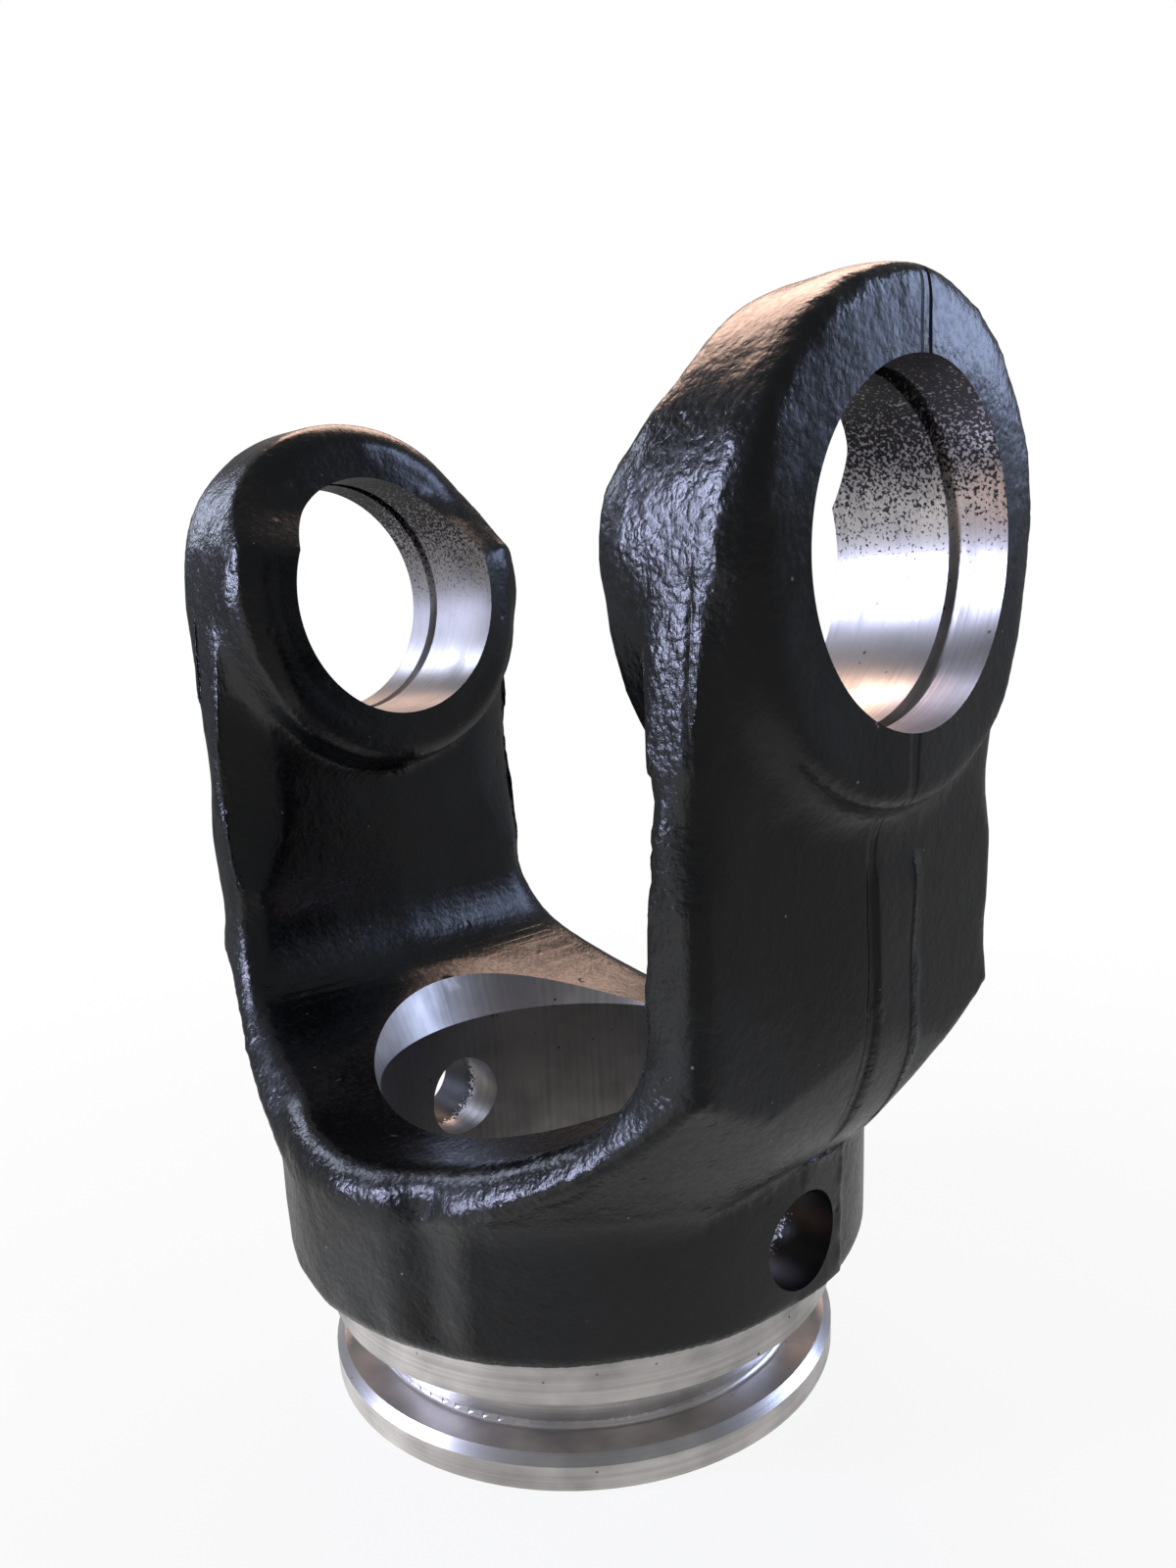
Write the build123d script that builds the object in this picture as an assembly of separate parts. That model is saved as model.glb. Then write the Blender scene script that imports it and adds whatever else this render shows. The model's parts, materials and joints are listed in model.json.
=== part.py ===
from build123d import *
import math
import os

# Drop-forged yoke of a farm drive shaft. Two ears carry one pair of bearings
# of a universal joint cross. They grow out of a hub that is bored for the
# shaft tube, drilled through for a cross pin, and turned at its foot for the
# bearing ring of the safety shield.
# Millimetres. Z runs along the shaft, X along the bearing bores of the ears,
# and Y = 0 is the plane on which the two forging dies met.

# Cross and its snap rings
BEARING_DIAMETER = 27.0
RING_SPAN = 74.6                # over both bearing caps, between the rings
RING_GROOVE_WIDTH = 1.6
RING_GROOVE_DEPTH = 0.9
BORE_HEIGHT = 84.7              # from the foot to the axis of the cross

# Ears
RING_LIP = 4.5                  # ear metal outside the ring groove, on the die line
EAR_THICKNESS = 17.55
EAR_RADIUS = 19.9
EAR_FACE_SKIN = 0.5             # blank stock that the drafted outer face trims
EAR_OUTER_ROUND = 3.0
EAR_INNER_ROUND = 3.0
BOSS_OUTER_HEIGHT = 3.7         # ear over arm, on the outside
BOSS_INNER_HEIGHT = 4.95        # the same on the inside
BOSS_FOOT_RISE = 0.8            # the outer boss spreads out this far over its arm
BOSS_FOOT_SLOPE = 30.0          # degrees from the arm's face
BOSS_FOOT_SINK = 2.0            # how deep the sloping foot runs into the arm
RELIEF_START = 5.0              # above the bore axis: the joint swings here
RELIEF_DEPTH = 9.0              # how far the relief goes in at the crown
RELIEF_STEEP_RISE = 4.4
RELIEF_STEEP_RUN = 3.6
RELIEF_ROUND = 6.0

# Arms
ARM_SIDE_STEP = 1.6             # each side of an arm stands out past its ear
ARM_INNER_ROUND = 3.5
ARM_OUTER_ROUND = 2.0
ARM_SHOULDER_DROP = 19.0        # below the bore axis: the sides turn in here
ARM_SHOULDER_ROUND = 70.0
ARM_ELBOW_ROUND = 22.2          # outer bend from arm to hub
ELBOW_LOW = 25.3                # lowest level of the outer elbows
ROOT_RISE = 10.6                # the sides turn out to the hub this far above the floor
ROOT_ANGLE = 34.0               # degrees from the shaft axis
ROOT_ROUND = 25.0
SCOOP_RADIUS = 58.0             # long hollow along each inner corner of an arm
SCOOP_DROP = 19.2               # its middle, below the bore axis
SCOOP_DEPTH = 1.45
SCOOP_TURN = 68.0               # degrees, across the corner
SCOOP_REACH = 9.0
SCOOP_LENGTH = 42.0
DRAFT = 3.0                     # degrees, both ways from the die line

# Fork floor
FLOOR_HEIGHT = 32.4
FLOOR_SWEEP = 50.0              # radius of the saddle between the arms
FLOOR_CORNER = 12.0

# Hub
HUB_DIAMETER = 64.6
HUB_SHOULDER_DIAMETER = 63.8
HUB_SHOULDER_RISE = 1.6
HUB_SHOULDER_ROUND = 1.5
FLARE_HEIGHT = 29.2             # where the hub starts to widen into the arms
FLARE_ANGLE = 36.0              # degrees from the shaft axis
FLARE_ROUND = 8.0
HUB_TOP_MARGIN = 0.4            # hub blank over the floor's round, kept apart from its end
TUBE_BORE_DIAMETER = 42.6
TUBE_CONE_START = 0.3           # above the fork floor: the straight bore ends here
TUBE_CONE_ANGLE = 20.0          # degrees from the shaft axis
PIN_DIAMETER = 10.0
PIN_HEIGHT = 22.9

# Turned foot with the race of the shield bearing
SEAT_DIAMETER = 57.52
SEAT_HEIGHT = 15.6
RACE_DIAMETER = 48.6
RACE_TOP = 9.77
RACE_ROUND = 0.8
FLANGE_DIAMETER = 57.74
FLANGE_RIM = 2.9
FLANGE_TOP = 3.8
FLANGE_BEVEL = 0.9
FOOT_CHAMFER = 0.3

OVERRUN = 10.0                  # how far a cutting shape passes the metal
NEAR = 0.02                     # edges and corners are found within this

# Sizes that follow from the ones above
lean = math.tan(math.radians(DRAFT))
ear_outer = RING_SPAN / 2 + RING_GROOVE_WIDTH + RING_LIP
ear_inner = ear_outer - EAR_THICKNESS
arm_half = ear_outer - BOSS_OUTER_HEIGHT
gap_half = ear_inner + BOSS_INNER_HEIGHT
width_half = EAR_RADIUS + ARM_SIDE_STEP
hub_radius = HUB_DIAMETER / 2
crown = BORE_HEIGHT + EAR_RADIUS
top = crown + OVERRUN
hub_top = FLOOR_HEIGHT + ARM_INNER_ROUND + HUB_TOP_MARGIN
bore_straight = FLOOR_HEIGHT + TUBE_CONE_START
cone_top = FLOOR_HEIGHT + FLOOR_CORNER
root_height = FLOOR_HEIGHT + ROOT_RISE
shoulder = BORE_HEIGHT - ARM_SHOULDER_DROP


def along_x(sketch, half_length):
    return extrude(Plane.YZ * sketch, amount=half_length, both=True)


def along_y(sketch, half_length):
    return extrude(Plane.XZ * sketch, amount=half_length, both=True)


def turned(sketch):
    """Solid of revolution about the shaft axis, from radius and height."""
    return revolve(Plane.XZ * sketch, axis=Axis.Z)


def outline(*points):
    return Polygon(*points, align=None)


def corner(sketch, x, y):
    """The sketch's corner at x, y."""
    return [v for v in sketch.vertices() if math.hypot(v.X - x, v.Y - y) < NEAR]


def drafted(half_span, half_width):
    """Block between two drafted faces: widest on the die line, leaning in."""
    inset = half_span - half_width * lean
    plan = outline(
        (half_span, 0), (inset, half_width), (-inset, half_width),
        (-half_span, 0), (-inset, -half_width), (inset, -half_width),
    )
    return extrude(plan, amount=top)


def front_view():
    """The fork seen along X: roots, straight sides, and round ears above."""
    reach = math.hypot(width_half, ARM_SHOULDER_DROP)
    touch = math.acos(EAR_RADIUS / reach) - math.atan2(ARM_SHOULDER_DROP, width_half)
    touch_point = (
        EAR_RADIUS * math.cos(touch),
        BORE_HEIGHT + EAR_RADIUS * math.sin(touch),
    )
    root_half = width_half + root_height * math.tan(math.radians(ROOT_ANGLE))
    side = [(root_half, 0), (width_half, root_height), (width_half, shoulder), touch_point]
    other_side = [(-y, z) for y, z in reversed(side)]
    view = outline(*side, *other_side) + Pos(0, BORE_HEIGHT) * Circle(EAR_RADIUS)
    turns = corner(view, width_half, shoulder) + corner(view, -width_half, shoulder)
    view = fillet(turns, ARM_SHOULDER_ROUND)
    roots = corner(view, width_half, root_height) + corner(view, -width_half, root_height)
    return fillet(roots, ROOT_ROUND)


def arm_blank(front):
    """Both arms as one block: drafted faces, outer elbows, hub flare."""
    block = drafted(arm_half, hub_radius + OVERRUN)
    side = Pos(0, (ELBOW_LOW + top) / 2) * Rectangle(2 * arm_half, top - ELBOW_LOW)
    side = fillet(side.vertices().group_by(Axis.Y)[0], ARM_ELBOW_ROUND)
    block &= along_y(side, hub_radius + OVERRUN)
    flare_run = (top - FLARE_HEIGHT) * math.tan(math.radians(FLARE_ANGLE))
    flare = outline(
        (0, 0), (hub_radius, 0), (hub_radius, FLARE_HEIGHT),
        (hub_radius + flare_run, top), (0, top),
    )
    flare = fillet(corner(flare, hub_radius, FLARE_HEIGHT), FLARE_ROUND)
    block &= turned(flare)
    return block & along_x(front, arm_half + OVERRUN)


def hub_blank():
    """Round hub with its rounded lower shoulder, which is left unturned."""
    hub = outline(
        (0, SEAT_HEIGHT), (HUB_SHOULDER_DIAMETER / 2, SEAT_HEIGHT),
        (hub_radius, SEAT_HEIGHT + HUB_SHOULDER_RISE), (hub_radius, hub_top), (0, hub_top),
    )
    hub = fillet(corner(hub, hub_radius, SEAT_HEIGHT + HUB_SHOULDER_RISE), HUB_SHOULDER_ROUND)
    return turned(hub)


def fork_slot():
    """Flat between the arms, with a wide saddle as its floor."""
    slot = Pos(0, FLOOR_HEIGHT + FLOOR_SWEEP) * Circle(FLOOR_SWEEP)
    slot &= Pos(0, (FLOOR_HEIGHT + top) / 2) * Rectangle(2 * gap_half, top - FLOOR_HEIGHT)
    slot = fillet([v for v in slot.vertices() if v.Y < BORE_HEIGHT], FLOOR_CORNER)
    return along_y(slot, hub_radius + OVERRUN)


def on_rim(edge):
    """True on the slot's rim: up both arms and across the saddle."""
    if edge.position_at(0).Y * edge.position_at(1).Y < 0:
        return False
    p = edge.position_at(0.5)
    corner_x = gap_half - FLOOR_CORNER
    drop = math.sqrt((FLOOR_SWEEP - FLOOR_CORNER) ** 2 - corner_x ** 2)
    sweep_z = FLOOR_HEIGHT + FLOOR_SWEEP
    on_arm = abs(p.X) - gap_half
    on_saddle = math.hypot(p.X, p.Z - sweep_z) - FLOOR_SWEEP
    on_corner = math.hypot(abs(p.X) - corner_x, p.Z - sweep_z + drop) - FLOOR_CORNER
    return min(abs(on_arm), abs(on_saddle), abs(on_corner)) < NEAR


def on_outer_corner(edge):
    """True on the corners of the arms' outer faces, above the elbows."""
    p = edge.position_at(0.5)
    on_face = abs(abs(p.X) + abs(p.Y) * lean - arm_half) < NEAR
    low = min(edge.position_at(0).Z, edge.position_at(1).Z)
    return on_face and abs(p.Y) > width_half / 2 and low > (ELBOW_LOW + shoulder) / 2


def on_ear_lip(edge):
    """True on the rim of an ear's inner face, up to the crown's relief."""
    p = edge.position_at(0.5)
    on_barrel = abs(math.hypot(p.Y, p.Z - BORE_HEIGHT) - EAR_RADIUS) < NEAR
    on_face = abs(p.X - ear_inner) < NEAR
    on_relief = p.Z > BORE_HEIGHT and p.X < ear_inner + RELIEF_DEPTH + NEAR
    return on_barrel and (on_face or on_relief)


def corner_scoops():
    """Long shallow hollows that take off the inner corners of the arms."""
    turn = math.radians(SCOOP_TURN)
    middle = BORE_HEIGHT - SCOOP_DROP
    hollow = Circle(SCOOP_RADIUS) & Rectangle(2 * SCOOP_RADIUS, SCOOP_LENGTH)
    scoops = []
    for end in (-1, 1):
        for side in (-1, 1):
            away = Vector(-end * math.sin(turn), side * math.cos(turn), 0)
            round_x = end * (gap_half + ARM_INNER_ROUND)
            round_y = side * (width_half - ARM_INNER_ROUND)
            out = ARM_INNER_ROUND - SCOOP_DEPTH + SCOOP_RADIUS
            centre = Vector(round_x, round_y, middle) + away * out
            plane = Plane(origin=centre, x_dir=away, z_dir=away.cross(Vector(0, 0, 1)))
            scoops.append(extrude(plane * hollow, amount=SCOOP_REACH, both=True))
    return scoops


def ear_blank(front):
    """The ear at +X: a round barrel, thicker than the arm on both sides."""
    blank_outer = ear_outer + EAR_FACE_SKIN
    foot_x = arm_half + BOSS_FOOT_RISE
    spread = (BOSS_FOOT_RISE + BOSS_FOOT_SINK) / math.tan(math.radians(BOSS_FOOT_SLOPE))
    profile = outline(
        (ear_inner, 0), (ear_inner, EAR_RADIUS), (arm_half - BOSS_FOOT_SINK, EAR_RADIUS),
        (arm_half - BOSS_FOOT_SINK, EAR_RADIUS + spread),
        (foot_x, EAR_RADIUS), (blank_outer, EAR_RADIUS), (blank_outer, 0),
    )
    round_corner = corner(profile, blank_outer, EAR_RADIUS)
    profile = fillet(round_corner, min(EAR_OUTER_ROUND, ear_outer - foot_x))
    ear = Pos(0, 0, BORE_HEIGHT) * revolve(Plane.XZ * profile, axis=Axis.X)
    ear &= along_x(front, ear_outer + OVERRUN)
    ear &= drafted(ear_outer, hub_radius)
    ear -= crown_relief()
    return fillet([e for e in ear.edges() if on_ear_lip(e)], EAR_INNER_ROUND)


def crown_relief():
    """Clears the inside of the ear's crown, where the cross swings past."""
    start = BORE_HEIGHT + RELIEF_START
    bend = (ear_inner + RELIEF_STEEP_RUN, start + RELIEF_STEEP_RISE)
    relief = outline(
        (ear_inner - OVERRUN, start), (ear_inner, start), bend,
        (ear_inner + RELIEF_DEPTH, crown), (ear_inner + RELIEF_DEPTH, top),
        (ear_inner - OVERRUN, top),
    )
    return along_y(fillet(corner(relief, *bend), RELIEF_ROUND), hub_radius)


def turned_foot():
    """Flange, round-cornered race for the shield bearing, and shaft seat."""
    race = RACE_DIAMETER / 2
    flange = FLANGE_DIAMETER / 2
    foot = outline(
        (0, 0), (flange - FOOT_CHAMFER, 0), (flange, FOOT_CHAMFER), (flange, FLANGE_RIM),
        (flange - FLANGE_BEVEL, FLANGE_TOP), (race, FLANGE_TOP), (race, RACE_TOP),
        (SEAT_DIAMETER / 2, RACE_TOP), (SEAT_DIAMETER / 2, SEAT_HEIGHT), (0, SEAT_HEIGHT),
    )
    return turned(fillet(corner(foot, race, FLANGE_TOP), RACE_ROUND))


def tube_bore():
    """Bore for the shaft tube, opened by a cone that ends in the saddle."""
    bore = TUBE_BORE_DIAMETER / 2
    cone_rise = cone_top - bore_straight
    cone_radius = bore + cone_rise * math.tan(math.radians(TUBE_CONE_ANGLE))
    return turned(outline(
        (0, -OVERRUN), (bore, -OVERRUN), (bore, bore_straight),
        (cone_radius, cone_top), (0, cone_top),
    ))


def cross_bores():
    """Bearing bores through both ears, with their snap ring grooves."""
    bore = BEARING_DIAMETER / 2
    cuts = Rot(0, 90, 0) * Cylinder(bore, 2 * (ear_outer + OVERRUN))
    for end in (-1, 1):
        middle = end * (RING_SPAN + RING_GROOVE_WIDTH) / 2
        groove = Rot(0, 90, 0) * Cylinder(bore + RING_GROOVE_DEPTH, RING_GROOVE_WIDTH)
        cuts += Pos(middle, 0, 0) * groove
    return Pos(0, 0, BORE_HEIGHT) * cuts


def pin_hole():
    return Pos(0, 0, PIN_HEIGHT) * (Rot(0, 90, 0) * Cylinder(PIN_DIAMETER / 2, 2 * arm_half))


# Forged body
front = front_view()
slot = fork_slot()
arms = arm_blank(front) - slot
arms = fillet([e for e in arms.edges() if on_rim(e)], ARM_INNER_ROUND)
arms = fillet([e for e in arms.edges() if on_outer_corner(e)], ARM_OUTER_ROUND)
for scoop in corner_scoops():
    arms -= scoop
hub = hub_blank() - slot
hub = fillet([e for e in hub.edges() if on_rim(e)], ARM_INNER_ROUND)
ear = ear_blank(front)
yoke = arms + hub + ear + mirror(ear, Plane.YZ)

# Machining
yoke += turned_foot()
yoke -= tube_bore()
yoke -= cross_bores()
yoke -= pin_hole()

yoke.label = "yoke_forging"
os.makedirs("parts", exist_ok=True)
export_step(yoke, "parts/yoke_forging.step")
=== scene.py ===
# %% [markdown]
# # A drop-forged yoke, painted black and machined bright
# This lesson dresses one steel forging: the fork that carries a universal
# joint on a farm drive shaft. Two finishes meet on it. The forging skin is
# lumpy, softly rounded and covered with gloss black enamel, and the bores and
# the foot are cut bright after painting. The shape comes from a fixed CAD
# frame, so the work here is the skin, the cut surfaces, and the light.

# %% Load the frame
import json
import math

import bpy
import numpy as np
from mathutils import Matrix, Vector


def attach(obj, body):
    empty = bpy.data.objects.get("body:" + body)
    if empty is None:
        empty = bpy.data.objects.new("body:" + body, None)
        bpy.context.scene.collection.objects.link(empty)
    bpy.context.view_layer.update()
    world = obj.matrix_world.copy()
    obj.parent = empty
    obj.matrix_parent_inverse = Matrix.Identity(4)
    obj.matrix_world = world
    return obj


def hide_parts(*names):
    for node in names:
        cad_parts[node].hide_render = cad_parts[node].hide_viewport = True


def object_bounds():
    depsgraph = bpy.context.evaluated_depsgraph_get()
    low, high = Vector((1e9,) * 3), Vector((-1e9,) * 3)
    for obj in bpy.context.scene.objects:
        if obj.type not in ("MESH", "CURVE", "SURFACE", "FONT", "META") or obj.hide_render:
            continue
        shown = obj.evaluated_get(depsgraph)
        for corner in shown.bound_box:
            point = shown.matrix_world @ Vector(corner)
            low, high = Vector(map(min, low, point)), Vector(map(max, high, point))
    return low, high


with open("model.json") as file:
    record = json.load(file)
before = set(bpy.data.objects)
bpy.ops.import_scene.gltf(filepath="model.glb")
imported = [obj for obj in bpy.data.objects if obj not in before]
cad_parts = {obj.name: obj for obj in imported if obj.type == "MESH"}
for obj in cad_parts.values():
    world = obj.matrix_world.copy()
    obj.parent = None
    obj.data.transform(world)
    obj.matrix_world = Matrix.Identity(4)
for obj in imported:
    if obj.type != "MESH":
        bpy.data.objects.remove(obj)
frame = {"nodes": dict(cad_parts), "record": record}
cad_box = [list(corner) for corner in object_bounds()]
print("CAD box in metres", [[round(value, 4) for value in corner] for corner in cad_box])

# %% [markdown]
# Sizes come from the frame's record where it states them, and the rest are
# the turned sizes that a machinist would read off the drawing. Everything
# below is in millimetres until it goes into a mesh, which is in metres.

# %% Sizes of the cut surfaces
MM = 0.001
mounts = {mount["name"]: mount for mount in frame["record"]["mounts"]}
BORE_HEIGHT = mounts["cross_bores"]["pos_m"][2] / MM
BORE_RADIUS = mounts["cross_bores"]["dims"]["r_mm"]
EAR_OUTER = mounts["cross_bores"]["dims"]["length_mm"] / 2
PIN_HEIGHT = mounts["pin_hole"]["pos_m"][2] / MM
PIN_RADIUS = mounts["pin_hole"]["dims"]["r_mm"]
TUBE_RADIUS = mounts["tube_bore"]["dims"]["r_mm"]
TUBE_STRAIGHT = mounts["tube_bore"]["dims"]["length_mm"]
TUBE_CONE_RISE = 11.7
TUBE_CONE_SPREAD = 4.26
GROOVE_INNER, GROOVE_OUTER, GROOVE_DEPTH = 37.3, 38.9, 0.9
FLANGE_RADIUS, FLANGE_RIM, FLANGE_TOP = 28.87, 2.9, 3.8
FLANGE_BEVEL, FOOT_CHAMFER = 0.9, 0.3
RACE_RADIUS, RACE_TOP, RACE_ROUND = 24.3, 9.77, 0.8
SEAT_RADIUS, SEAT_HEIGHT = 28.76, 15.6
ARM_INNER = 30.8
FLOOR_HEIGHT = 32.4
print("bearing bore", BORE_RADIUS, "mm radius at height", BORE_HEIGHT)

# %% [markdown]
# ## The camera
# The camera was found by fitting the CAD outline to the photograph: its turn
# round the shaft, its height above the horizon, a small roll, and a wide lens
# close to the part, which makes the near ear much larger than the far one.

# %% Camera
CAMERA_TURN, CAMERA_RISE, CAMERA_ROLL = 47.125, 14.839, -2.641
CAMERA_PLACE = Vector((0.0922, -0.0810, 0.0806))
FRAME_HEIGHT_PX, FOCAL_PX = 1600, 1184.1
CENTRE_RIGHT_PX, CENTRE_DOWN_PX = 7.58, 149.35


def camera_axes(turn, rise, roll):
    """Right, up and back of a camera: two turns, then a roll about the view."""
    turn, rise, roll = (math.radians(angle) for angle in (turn, rise, roll))
    back = Vector((math.sin(turn) * math.cos(rise), -math.cos(turn) * math.cos(rise), math.sin(rise)))
    right = Vector((math.cos(turn), math.sin(turn), 0))
    up = back.cross(right)
    rolled_right = right * math.cos(roll) + up * math.sin(roll)
    rolled_up = up * math.cos(roll) - right * math.sin(roll)
    return rolled_right, rolled_up, back


def posed(place, axes):
    """A matrix for an object at a place, with its own X, Y and Z along three axes."""
    return Matrix.Translation(place) @ Matrix(axes).transposed().to_4x4()


camera_data = bpy.data.cameras.new("photograph_view")
camera_data.sensor_width = 36
camera_data.lens = camera_data.sensor_width * FOCAL_PX / FRAME_HEIGHT_PX
camera_data.shift_x = -CENTRE_RIGHT_PX / FRAME_HEIGHT_PX
camera_data.shift_y = CENTRE_DOWN_PX / FRAME_HEIGHT_PX
camera_data.clip_start = 0.005
camera = bpy.data.objects.new("photograph_view", camera_data)
bpy.context.scene.collection.objects.link(camera)
camera.matrix_world = posed(CAMERA_PLACE, camera_axes(CAMERA_TURN, CAMERA_RISE, CAMERA_ROLL))
bpy.context.scene.camera = camera
bpy.context.scene.view_settings.view_transform = "Standard"
print("lens", round(camera_data.lens, 2), "mm")

# %% [markdown]
# ## Helpers for shader nodes and colour
# A material is a small graph. One function adds a node, sets its options and
# links or fills its inputs, and short ones after it name the steps that come
# back often. Another turns the hex colours that people read off a screen
# into the linear values that a renderer adds up.

# %% Node and colour helpers
def add(tree, kind, inputs=None, **options):
    """Adds a node; inputs maps a socket's name or number to a value or to another socket."""
    node = tree.nodes.new(kind)
    for name, value in options.items():
        setattr(node, name, value)
    for key, value in (inputs or {}).items():
        socket = node.inputs[key]
        if isinstance(value, bpy.types.NodeSocket):
            tree.links.new(value, socket)
        else:
            socket.default_value = value
    return node


def linear(hex_colour):
    """sRGB hex to linear RGBA: each channel c becomes ((c + 0.055) / 1.055) to the power 2.4."""
    channels = [int(hex_colour[i:i + 2], 16) / 255 for i in (1, 3, 5)]
    return (*[c / 12.92 if c <= 0.04045 else ((c + 0.055) / 1.055) ** 2.4 for c in channels], 1)


def number(tree, operation, a, b=0.0):
    """One step of arithmetic on two numbers or sockets."""
    return add(tree, "ShaderNodeMath", {0: a, 1: b}, operation=operation).outputs[0]


def ranged(tree, value, low, high, to_low=0.0, to_high=1.0, kind="LINEAR"):
    """Carries low to to_low and high to to_high and stops there, straight or smooth between them."""
    inputs = {0: value, 1: low, 2: high, 3: to_low, 4: to_high}
    return add(tree, "ShaderNodeMapRange", inputs, interpolation_type=kind).outputs[0]


def blended(tree, share, first, second, kind="MIX"):
    """The first colour at share 0, and at share 1 the second one, or for MULTIPLY their product."""
    inputs = {0: share, 6: first, 7: second}
    return add(tree, "ShaderNodeMix", inputs, data_type="RGBA", blend_type=kind).outputs[2]


def noise(tree, place, size, detail=2.0):
    """Smooth noise from 0 to 1 with lumps of that size; each step of detail adds half-sized ones."""
    inputs = {"Vector": place, "Scale": 1 / size, "Detail": detail}
    return add(tree, "ShaderNodeTexNoise", inputs).outputs[0]


def spots(tree, place, size, rim, pick, channel=0, kind="LINEAR"):
    """Round spots of 1 inside the rim, in those cells of that size whose chance is above `pick`."""
    cells = add(tree, "ShaderNodeTexVoronoi", {"Vector": place, "Scale": 1 / size})
    chance = add(tree, "ShaderNodeSeparateColor", {0: cells.outputs["Color"]}).outputs[channel]
    spot = ranged(tree, cells.outputs["Distance"], *rim, 1.0, 0.0, kind)
    return number(tree, "MULTIPLY", spot, ranged(tree, chance, *pick, kind=kind))


def clear_rays(tree):
    """Two signals of a light path: 1 for camera and glass rays, and 1 for mirror rays."""
    rays = add(tree, "ShaderNodeLightPath").outputs
    clear = number(tree, "MAXIMUM", rays["Is Camera Ray"], rays["Is Transmission Ray"])
    return clear, rays["Is Glossy Ray"]


def new_material(name):
    """An empty material with its tree, its shader and its coordinates in millimetres."""
    material = bpy.data.materials.new(name)
    material.use_nodes = True
    tree = material.node_tree
    tree.nodes.clear()
    shader = add(tree, "ShaderNodeBsdfPrincipled")
    add(tree, "ShaderNodeOutputMaterial", {"Surface": shader.outputs["BSDF"]})
    place = add(tree, "ShaderNodeTexCoord").outputs["Object"]
    place = add(tree, "ShaderNodeVectorMath", {0: place, "Scale": 1 / MM}, operation="SCALE")
    return material, tree, shader, place.outputs[0]


print("sRGB mid grey is", round(linear("#808080")[0], 3), "in linear values")

# %% [markdown]
# ## Floor and light
# The photograph has a white ground with the part cut out on it. A broad pale
# floor runs out to a world that the camera and glass see as white, and for
# them most of the floor's shadow is cleared too. Black enamel is seen almost
# wholly by what it mirrors, and a white room would turn it grey. So mirror
# rays see the same room dimmed: a faint world, and a floor with painted light,
# a glow that is stronger in a pool round the part and in a patch to the front.
# Four lamps draw the highlights: a tall cool window on the left, a smaller one
# beside it, one behind the part, and a warm ceiling.

# %% Floor
FLOOR_REACH = 3.0
FLOOR_RINGS, FLOOR_SIDES = 24, 96
FLOOR_SHADE, FLOOR_PALE, FIBRE_MM = "#e4e5e6", "#ececec", 2.5
SHADOW_CLEARED, SHADOW_NEAR, SHADOW_FAR = 0.90, 45.0, 220.0
FLOOR_IN_MIRROR = 0.27
PATCH_TURN, PATCH_IN_MIRROR, PATCH_EDGE, PATCH_FULL = -10, 0.85, 0.78, 0.98
POOL_IN_MIRROR, POOL_NEAR, POOL_FAR = 0.48, 60.0, 260.0


def disc(name, reach, rings, sides):
    """A flat disc: ring k has radius reach * (k / rings) squared, so rings crowd at the middle."""
    radius = reach * (np.arange(1, rings + 1) / rings) ** 2
    angle = np.arange(sides) * 2 * np.pi / sides
    ring_points = np.stack([
        np.outer(radius, np.cos(angle)), np.outer(radius, np.sin(angle)), np.zeros((rings, sides)),
    ], axis=-1).reshape(-1, 3)
    points = np.vstack([[[0, 0, 0]], ring_points])
    here = np.arange(sides)
    after = (here + 1) % sides
    faces = [np.stack([np.zeros(sides, int), 1 + here, 1 + after], axis=1).tolist()]
    for k in range(rings - 1):
        inner, outer = 1 + k * sides, 1 + (k + 1) * sides
        faces.append(np.stack([inner + here, outer + here, outer + after, inner + after], axis=1).tolist())
    mesh = bpy.data.meshes.new(name)
    mesh.from_pydata(points.tolist(), [], [face for ring in faces for face in ring])
    floor = bpy.data.objects.new(name, mesh)
    bpy.context.scene.collection.objects.link(floor)
    return floor


floor = disc("studio_floor", FLOOR_REACH, FLOOR_RINGS, FLOOR_SIDES)
material, tree, shader, place = new_material("matte_white_board")
shader.inputs["Roughness"].default_value = 0.9
shader.inputs["Specular IOR Level"].default_value = 0.2
tint = blended(tree, noise(tree, place, FIBRE_MM, 3.0), linear(FLOOR_SHADE), linear(FLOOR_PALE))
tree.links.new(tint, shader.inputs["Base Color"])
clear, mirror = clear_rays(tree)
away = add(tree, "ShaderNodeVectorMath", {0: place}, operation="LENGTH").outputs["Value"]
cleared = ranged(tree, away, SHADOW_NEAR, SHADOW_FAR, SHADOW_CLEARED, 1.0, "SMOOTHSTEP")
front = camera_axes(PATCH_TURN, 0, 0)[2]
heading = add(tree, "ShaderNodeVectorMath", {0: place}, operation="NORMALIZE").outputs[0]
toward = add(tree, "ShaderNodeVectorMath", {0: heading, 1: front}, operation="DOT_PRODUCT").outputs["Value"]
# The patch and the pool are painted light: the floor glows brighter there, for mirror rays only, in place of
# window light on the board.
painted_patch = ranged(tree, toward, PATCH_EDGE, PATCH_FULL, FLOOR_IN_MIRROR, PATCH_IN_MIRROR)
painted_pool = ranged(tree, away, POOL_NEAR, POOL_FAR, POOL_IN_MIRROR, 0.0, "SMOOTHSTEP")
level = ranged(tree, mirror, 0.0, 1.0, 1.0, number(tree, "MAXIMUM", painted_patch, painted_pool))
seen = number(tree, "MAXIMUM", number(tree, "MULTIPLY", clear, cleared), mirror)
backdrop_and_painted_pool = add(tree, "ShaderNodeEmission", {"Color": (1, 1, 1, 1), "Strength": level})
ground = add(tree, "ShaderNodeMixShader", {0: seen, 1: shader.outputs["BSDF"], 2: backdrop_and_painted_pool.outputs[0]})
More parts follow.
